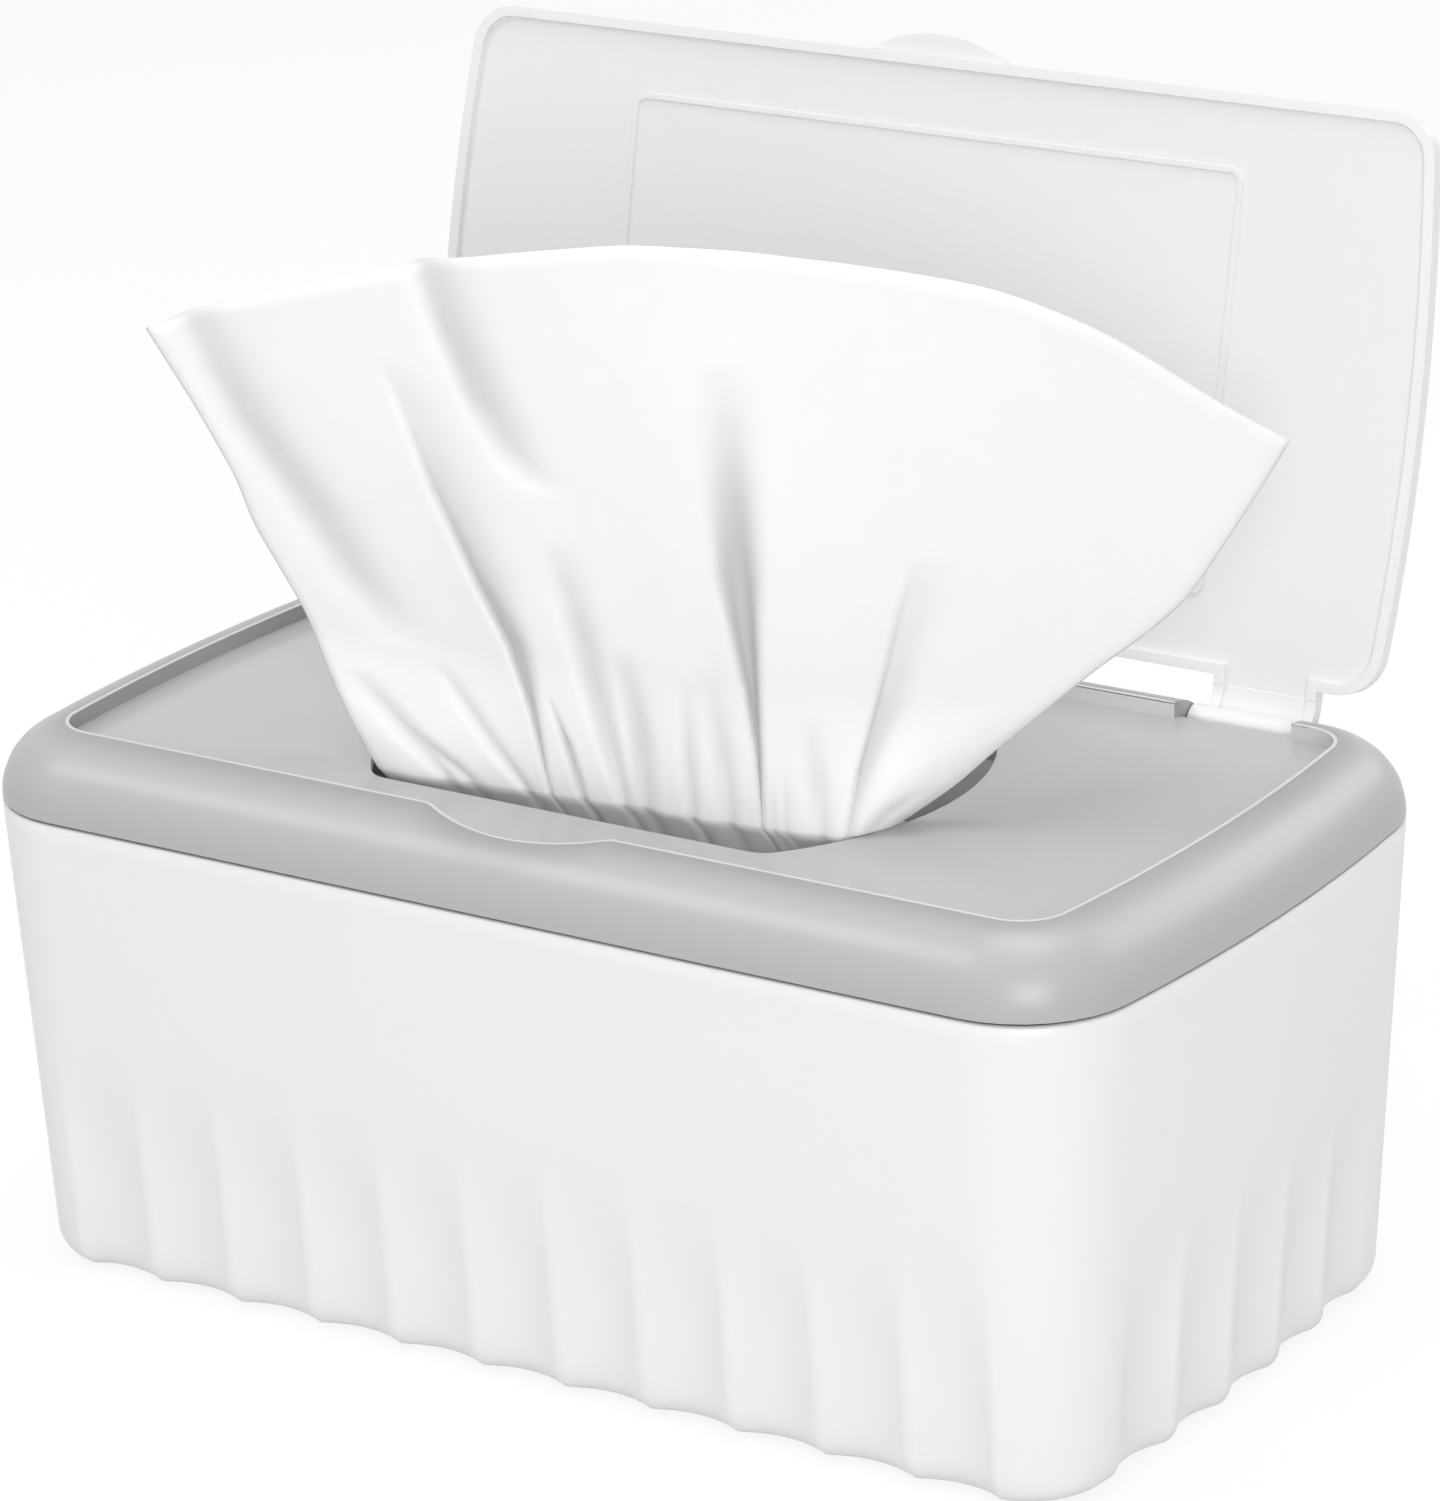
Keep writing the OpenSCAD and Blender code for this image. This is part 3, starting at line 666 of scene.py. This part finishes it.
def stacked(layer, low, layer_height):
    """Repeats the folded wipe up the stack."""
    tree = bpy.data.node_groups.new("Stack", "GeometryNodeTree")
    group_input(tree, "Folded wipe", "NodeSocketGeometry")
    values = {
        group_input(tree, "Layers", "NodeSocketInt"): STACK_LAYERS,
        group_input(tree, "Layer height", "NodeSocketFloat"): layer_height,
        group_input(tree, "Lowest", "NodeSocketFloat"): low + layer_height / 2,
        group_input(tree, "Wander", "NodeSocketFloat"): STACK_WANDER,
        group_input(tree, "Cloth", "NodeSocketMaterial"): wipe_cloth,
    }
    tree.interface.new_socket("Stack", in_out="OUTPUT", socket_type="NodeSocketGeometry")
    start = tree.nodes.new("NodeGroupInput")
    folded, layers, step, lowest, wander, finish = (
        Field(tree, start.outputs[i]) for i in range(6)
    )
    field = Field(tree)
    rise = field.make("ShaderNodeCombineXYZ", {"Z": step})
    first = field.make("ShaderNodeCombineXYZ", {"Z": lowest})
    line = field.make(
        "GeometryNodeMeshLine", {"Count": layers, "Start Location": first, "Offset": rise}
    )
    shift = field.make(
        "FunctionNodeRandomValue",
        {"Min": (-1.0, -1.0, 0.0), "Max": (1.0, 1.0, 0.0), "Seed": 7},
        data_type="FLOAT_VECTOR",
    )
    scaled = {"Vector": shift, "Scale": wander}
    moved = field.make("ShaderNodeVectorMath", scaled, operation="SCALE")
    placed = field.make("GeometryNodeSetPosition", {"Geometry": line, "Offset": moved})
    repeated = field.make("GeometryNodeInstanceOnPoints", {"Points": placed, "Instance": folded})
    real = field.make("GeometryNodeRealizeInstances", {"Geometry": repeated})
    done = field.make("GeometryNodeSetMaterial", {"Geometry": real, "Material": finish})
    tree.links.new(done.socket, tree.nodes.new("NodeGroupOutput").inputs[0])
    add_group(layer, tree, values)
    return plain_result(layer, "folded_stack")


wipe_cloth = cloth("nonwoven")
stack_low, stack_high = (corner.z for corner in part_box("wipe_stack"))
layer_height = (stack_high - stack_low) / STACK_LAYERS
stack = stacked(folded_layer(layer_height * LAYER_FILL), stack_low, layer_height)
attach(stack, "tub")
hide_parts("wipe_stack")

# ---- Raised wipe ---------------------------------------------------------
# The top wipe is drawn up through the slot, gathered there and spread like a
# fan above it. It is soft nonwoven, and only friction in the slot holds it.

WIPE_THICKNESS = 0.0004
COLUMNS = 280
ROWS = 140
TAIL_ROWS = 20

# The plan, how the folds sink and the sheet ripples, the foot that slants forward
# into the slot, the hem, and the tail below the slot.
WIPE_CREASE_Y = -0.0255
WIPE_SLANT = 0.035
CURL_FROM = 0.010
CURL_TO = 0.0867
CURL_SWEEP = 0.050
FORWARD = (0.558, -0.830)
DEEPEST_FOLD = 0.0045
FOLD_LIMIT = 0.00585
RIPPLE = 0.0005
RIPPLE_WAVES = ((95, 40), (30, 60))
FOOT_RISE = 0.354
FOOT_FADE = 0.022
SLOT_PRESS = 0.6
SLOT_CENTRE_Y = -0.0025
SLOT_REACH = 0.0462
SLOT_FRONT = -0.0337
HEM_WIDTH = 0.0016
HEM_TURN = 0.0011
TAIL_SLOPE = 1.15
TAIL_BEND = 0.007
WIPE_BOTTOM = 0.0590

# The fan's corners and edges as (x, z) in millimetres on its upright, curved plan:
# along the slot, up each side and over the top.
LEFT_FOOT, RIGHT_FOOT = (-38.8, 82.7), (45.3, 84.75)
LEFT_TIP, RIGHT_TIP = (-77.8, 146.4), (86.7, 136.9)
SLOT_EDGE = [LEFT_FOOT, (-33.5, 82.3), (-11.9, 83.2), (9.1, 84), (26.7, 83.3), (38.1, 82)]
SLOT_EDGE += [(43, 83.6), RIGHT_FOOT]
LEFT_EDGE = [LEFT_FOOT, (-43.6, 89.8), (-47.5, 97.4), (-50.7, 105.2), (-53.4, 109.2)]
LEFT_EDGE += [(-60.3, 119.1), (-62.1, 124.5), (-69.5, 135.5), LEFT_TIP]
RIGHT_EDGE = [RIGHT_FOOT, (51.7, 90), (56.3, 95), (62.3, 100.8), (66.9, 105.5), (73.1, 111)]
RIGHT_EDGE += [(76.9, 115.5), (78.6, 119.1), (83.6, 129.7), RIGHT_TIP]
TOP_EDGE = [LEFT_TIP, (-69.2, 149.8), (-59.8, 153.3), (-45.1, 157.6), (-30.7, 161.5)]
TOP_EDGE += [(-11.4, 165.6), (9.1, 169.1), (26, 169.7), (40.4, 168.2), (49.7, 166.2)]
TOP_EDGE += [(57.5, 163.8), (68, 156.8), (73.9, 150.8), (79.8, 144), RIGHT_TIP]

# Each fold is a valley that runs up the fan. Its rows give, in millimetres, x, z,
# depth, width to the left and to the right, and then how square its sides are.
FOLDS = [
    # Soft bands under the left corner and the top edge.
    [(-34, 103, 0, 4, 5, 2), (-41, 111, 2.4, 3.5, 4.5, 2), (-50, 122.5, 3.2, 3.2, 5, 2)]
    + [(-60, 133.5, 3.2, 3, 5, 2), (-68.6, 147.5, 2.2, 3.5, 5, 2), (-72, 153, 1.4, 4, 5, 2)],
    [(-8.5, 130, 0, 3, 4, 2), (-12.8, 135, 2.6, 2.6, 3.6, 2), (-17.9, 142, 3.6, 2.2, 4.4, 2)]
    + [(-22.7, 151.6, 3.6, 2, 4.6, 2), (-27.5, 163, 2.6, 2.4, 5, 2)],
    # Long crease from the slot to the left part of the fan.
    [(-8, 83, 2.4, 0.3, 0.6, 4), (-9.1, 87.3, 2.8, 0.3, 0.7, 4), (-11.3, 96.3, 3.6, 0.3, 1.5, 4)]
    + [(-14.6, 105.2, 4.4, 0.3, 3.3, 4), (-20.3, 115.4, 4, 0.4, 4, 1.8)]
    + [(-26.8, 128.2, 3, 0.5, 5, 1.6), (-31.4, 139.9, 1.4, 0.9, 5, 1.6), (-35, 147, 0, 1, 5, 1.6)],
    # Small creases beside it.
    [(-2, 83, 3.2, 0.8, 0.8, 4), (-4.9, 92, 2.6, 0.8, 0.8, 4), (-8, 99, 0, 0.2, 0.2, 3)],
    [(-26, 83, 1.8, 1.1, 1.3, 2), (-33, 88.8, 2.2, 1.6, 1.7, 2), (-38.6, 93.7, 1.4, 2, 2, 2)]
    + [(-42, 98, 0, 2, 2, 2)],
    [(-21.7, 83, 1.4, 0.8, 0.9, 2), (-25.8, 85.6, 1.6, 0.9, 1, 2), (-33, 90, 0, 1, 1, 2)],
    [(-11.7, 83, 1.6, 0.9, 1, 2), (-18, 89.3, 2, 1, 1.2, 2), (-23.4, 96, 1.2, 1.3, 1.4, 2)]
    + [(-27, 101, 0, 1.4, 1.4, 2)],
    # Gathers at the middle of the slot.
    [(5.2, 83, 1.8, 1, 1.2, 2), (2.8, 91, 2.4, 1.4, 1.6, 2), (0.5, 99.8, 2.8, 1.8, 2.2, 2)]
    + [(-1.9, 108.7, 2.6, 2.1, 2.6, 2), (-4.4, 116.5, 1.4, 2.4, 3, 2), (-6, 123, 0, 2.5, 3, 2)],
    [(8.7, 83, 2.4, 1.5, 1.6, 2), (7.6, 94.6, 2.6, 1.7, 2, 2), (5.8, 102.4, 1.5, 2, 2.4, 2)]
    + [(4.6, 108, 0, 2, 2.4, 2)],
    [(16.4, 83, 2.4, 0.9, 0.9, 2.4), (16, 91, 2, 1, 1.1, 2), (15.4, 105, 0, 1, 1.6, 2)],
    [(22.2, 83, 2, 1.5, 1.2, 2), (21.2, 93.4, 1.8, 1.6, 1.4, 2), (19.4, 107, 0, 1.8, 1.8, 2)],
    # Deep fold that opens upwards from the middle, and the thin ones beside it.
    [(26.8, 83, 3.2, 0.3, 0.3, 4), (26.6, 94, 3.8, 0.6, 0.5, 4), (26.1, 103, 4.6, 1.1, 0.9, 4)]
    + [(25, 115, 5.2, 2.3, 2, 4), (24.5, 121, 5, 3, 2.7, 3), (23.9, 132, 3.8, 3.3, 3, 2.4)]
    + [(23.3, 144, 1.4, 3.3, 3.2, 2), (22.8, 153, 0, 3.4, 3.2, 2)],
    [(28.5, 83, 1, 0.35, 0.35, 2), (28.2, 91, 0, 0.35, 0.35, 2)],
    [(30.2, 83, 1.1, 0.45, 0.45, 2), (30.2, 93, 0, 0.45, 0.45, 2)],
    [(35, 82, 1.8, 1.1, 1.1, 2), (34.6, 88.7, 2, 1.3, 1.3, 2), (33.9, 101, 0, 1.3, 1.7, 2)],
    # Crease up the right part of the fan.
    [(38.2, 82, 1.6, 0.3, 0.9, 2), (40.1, 92.5, 2.8, 0.3, 2, 1.8), (42.5, 102.3, 2.8, 0.3, 3, 1.7)]
    + [(46, 118, 1.3, 0.5, 4, 1.6), (48, 125, 0, 0.8, 4, 1.6)],
    [(41, 83.5, 0.7, 0.7, 0.7, 2), (44, 86.6, 1, 0.9, 0.9, 2), (47.5, 90, 0, 0.9, 0.9, 2)],
]


def fan_y(x):
    """Plan of the raised wipe: nearly straight on the left, swept back on the right."""
    past = np.maximum(0, x - CURL_FROM) / (CURL_TO - CURL_FROM)
    return WIPE_CREASE_Y + WIPE_SLANT * x + CURL_SWEEP * past**2


def eased(points, count):
    """Evenly spaced points in metres along a line of points in millimetres, its corners eased."""
    points = np.array(points) / 1000
    run = np.cumsum(np.hypot(*np.diff(points, axis=0).T))
    along = np.linspace(0, run[-1], count)
    line = np.stack([np.interp(along, [0, *run], axis) for axis in points.T], -1)
    for _ in range(count // 4):
        line[1:-1] += (line[:-2] + line[2:] - 2 * line[1:-1]) / 4
    return line


def fan():
    """The flat fan between its four edges, as rows of (x, z) from the slot to the top."""
    low, top = eased(SLOT_EDGE, COLUMNS + 1), eased(TOP_EDGE, COLUMNS + 1)
    left, right = eased(LEFT_EDGE, ROWS + 1)[:, None], eased(RIGHT_EDGE, ROWS + 1)[:, None]
    s = np.linspace(0, 1, COLUMNS + 1)[:, None]
    t = np.linspace(0, 1, ROWS + 1)[:, None, None]
    corners = (1 - t) * ((1 - s) * low[0] + s * low[-1]) + t * ((1 - s) * top[0] + s * top[-1])
    return (1 - t) * low + t * top + (1 - s) * left + s * right - corners


def valley(x, z, fold):
    """Depth of one fold at each point of the fan."""
    rows = np.array(fold).T
    rows[:5] /= 1000
    middle, depth, left, right, square = (np.interp(z, rows[1], rows[k]) for k in (0, 2, 3, 4, 5))
    run, rise = rows[0, -1] - rows[0, 0], rows[1, -1] - rows[1, 0]
    across = (x - middle) * rise / math.hypot(run, rise)
    return depth * np.exp(-((np.abs(across) / np.where(across < 0, left, right)) ** square))


def hem(x, z):
    """How far the free edges of the fan turn back."""
    back = np.zeros_like(x)
    for free in ((slice(None), 0), (slice(None), -1), (-1, slice(None))):
        edge = np.stack([x[free], z[free]], -1)
        near = np.full_like(x, HEM_WIDTH)
        for place in edge:
            near = np.minimum(near, np.hypot(x - place[0], z - place[1]))
        back = np.maximum(back, (1 - near / HEM_WIDTH) ** 2)
    return HEM_TURN * back


def into_slot(foot):
    """Keeps the fan's foot, a row of points, inside the rounded slot."""
    reach = np.hypot(foot[:, 0], foot[:, 1] - SLOT_CENTRE_Y)
    inside = np.minimum(1, SLOT_REACH / reach)
    foot[:, 0] *= inside
    foot[:, 1] = SLOT_CENTRE_Y + (foot[:, 1] - SLOT_CENTRE_Y) * inside
    foot[:, 1] = np.maximum(foot[:, 1], SLOT_FRONT)


def tail(foot):
    """The rows that hang below the fan's foot, bent back as they go down."""
    down = np.linspace(DECK_TOP - WIPE_BOTTOM, 0, TAIL_ROWS + 1)[:-1, None]
    back = TAIL_SLOPE * TAIL_BEND * (1 - np.exp(-down / TAIL_BEND))
    return foot + np.stack([0 * down, back, -down], -1)


def wipe_points():
    """Rows of points from the wipe's hidden end to its top, and how much shade is painted at each.
    """
    x, z = np.moveaxis(fan(), -1, 0)
    sunk = sum(valley(x, z, fold) for fold in FOLDS)
    first, second = (np.sin(x * across + z * up) for across, up in RIPPLE_WAVES)
    ripple = RIPPLE * first * second
    foot = np.clip((z - z[0]) / FOOT_FADE, 0, 1)
    forward = (DECK_TOP - z[0]) / FOOT_RISE * (1 - foot * foot * (3 - 2 * foot))
    pressed = 1 - SLOT_PRESS * np.clip(1 - (z - z[0]) / (FOOT_FADE / 3), 0, 1)
    toward = forward - np.minimum(sunk, FOLD_LIMIT) * pressed - hem(x, z) + ripple
    across, back = x + toward * FORWARD[0], fan_y(x) + toward * FORWARD[1]
    points = np.stack([across, back, z + forward * FOOT_RISE], -1)
    into_slot(points[0])
    # Shade painted into the creases grows with the folds' depth.
    painted_crease_shade = np.clip(sunk / DEEPEST_FOLD, 0, 1)
    tail_painted_crease_shade = np.broadcast_to(painted_crease_shade[0], (TAIL_ROWS, COLUMNS + 1))
    return np.concatenate([tail(points[0]), points]), np.concatenate([tail_painted_crease_shade, painted_crease_shade])


def raised_wipe():
    """The raised wipe as an open sheet with the cloth's thickness."""
    points, painted_crease_shade = wipe_points()
    wide = COLUMNS + 1
    faces = []
    for row in range(len(points) - 1):
        for i in range(COLUMNS):
            a = row * wide + i
            faces.append((a, a + 1, a + 1 + wide, a + wide))
    mesh = bpy.data.meshes.new("wipe")
    mesh.from_pydata([tuple(p) for p in points.reshape(-1, 3)], [], faces)
    mesh.attributes.new("painted_crease_shade", "FLOAT", "POINT").data.foreach_set("value", painted_crease_shade.ravel())
    mesh.shade_smooth()
    piece = bpy.data.objects.new("wipe_flat", mesh)
    scene.collection.objects.link(piece)
    thick = piece.modifiers.new("Thickness", "SOLIDIFY")
    thick.thickness = WIPE_THICKNESS
    thick.offset = 0
    return plain_result(piece, "pulled_wipe")


wipe = raised_wipe()
wipe.data.materials.append(wipe_cloth)
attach(wipe, "wipe")
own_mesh(wipe)
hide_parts("raised_wipe")

# ---- Counter, lamps and camera -------------------------------------------
# A plain white counter and backdrop, broad soft lamps round it and above, and a
# long lens looking down on the dispenser's right-hand front corner.

COUNTER_REACH = 6
COUNTER_GREY = (0.7, 0.7, 0.7, 1)
COUNTER_GLOW = 1.1
COUNTER_GLOW_SHARE = 0.75
SKY_STRENGTH = 0.4
CAMERA_PLACE = (0.49310, -0.72590, 0.39420)
CAMERA_AZIMUTH = 33.928
CAMERA_ELEVATION = 19.483
CAMERA_ROLL = -1.726
LENS = 148.25
SENSOR_WIDTH = 36


def seen_directly(tree):
    """1 for what the camera sees straight, in a reflection or through something clear."""
    ray = tree.nodes.new("ShaderNodeLightPath")
    kinds = ("Is Camera Ray", "Is Glossy Ray", "Is Transmission Ray")
    camera, glossy, through = (Field(tree, ray.outputs[kind]) for kind in kinds)
    return camera.maths("MINIMUM", camera + glossy + through, 1.0)


def white_counter():
    """Mostly white where it is seen directly, and a plain pale surface to everything else."""
    material, field = blank_material("white counter")
    white = field.make("ShaderNodeEmission", {"Color": (1, 1, 1, 1), "Strength": COUNTER_GLOW})
    lit = field.make("ShaderNodeBsdfDiffuse", {"Color": COUNTER_GREY})
    share = seen_directly(field.tree) * COUNTER_GLOW_SHARE
    lit_then_white = {0: share, 1: lit, 2: white}
    mixed = field.make("ShaderNodeMixShader", lit_then_white)
    field.make("ShaderNodeOutputMaterial", {"Surface": mixed})
    return material


floor_mesh = bpy.data.meshes.new("counter")
quarters = ((-1, -1), (1, -1), (1, 1), (-1, 1))
corners = [(x * COUNTER_REACH, y * COUNTER_REACH, 0) for x, y in quarters]
floor_mesh.from_pydata(corners, [], [(0, 1, 2, 3)])
floor_mesh.materials.append(white_counter())
floor = bpy.data.objects.new("counter", floor_mesh)
scene.collection.objects.link(floor)

world = bpy.data.worlds.new("studio")
scene.world = world
world.use_nodes = True
world.node_tree.nodes.clear()
sky = Field(world.node_tree)
strength = SKY_STRENGTH + seen_directly(world.node_tree) * (1 - SKY_STRENGTH)
backdrop = sky.make("ShaderNodeBackground", {"Color": (1, 1, 1, 1), "Strength": strength})
sky.make("ShaderNodeOutputWorld", {"Surface": backdrop})


def lamp(name, place, target, size, power):
    """A rectangular softbox of some watts that looks at a target."""
    light = bpy.data.lights.new(name, "AREA")
    light.shape = "RECTANGLE"
    light.size, light.size_y = size
    light.energy = power
    body = bpy.data.objects.new(name, light)
    body.location = place
    body.rotation_euler = (Vector(target) - Vector(place)).to_track_quat("-Z", "Y").to_euler()
    scene.collection.objects.link(body)


lamp("side softbox", (0.82, -1.02, 0.5), (0, 0, 0.06), (0.65, 0.65), 8.8)
lamp("front softbox", (-0.6, -0.5, 0.95), (0, 0, 0.08), (0.4, 0.4), 3)
lamp("back softbox", (0.5, 1.05, 0.7), (0.05, 0, 0.08), (0.8, 0.5), 3)
lamp("overhead softbox", (0, 0.1, 1.3), (0, 0, 0.06), (0.8, 0.8), 6.2)

lens = bpy.data.cameras.new("photograph")
lens.lens = LENS
lens.sensor_width = SENSOR_WIDTH
lens.sensor_fit = "AUTO"
lens.clip_start = 0.01
camera = bpy.data.objects.new("photograph", lens)
scene.collection.objects.link(camera)
camera.matrix_world = (
    Matrix.Translation(CAMERA_PLACE)
    @ Matrix.Rotation(math.radians(CAMERA_AZIMUTH), 4, "Z")
    @ Matrix.Rotation(math.radians(90 - CAMERA_ELEVATION), 4, "X")
    @ Matrix.Rotation(math.radians(CAMERA_ROLL), 4, "Z")
)
scene.camera = camera
scene.view_settings.view_transform = "Standard"
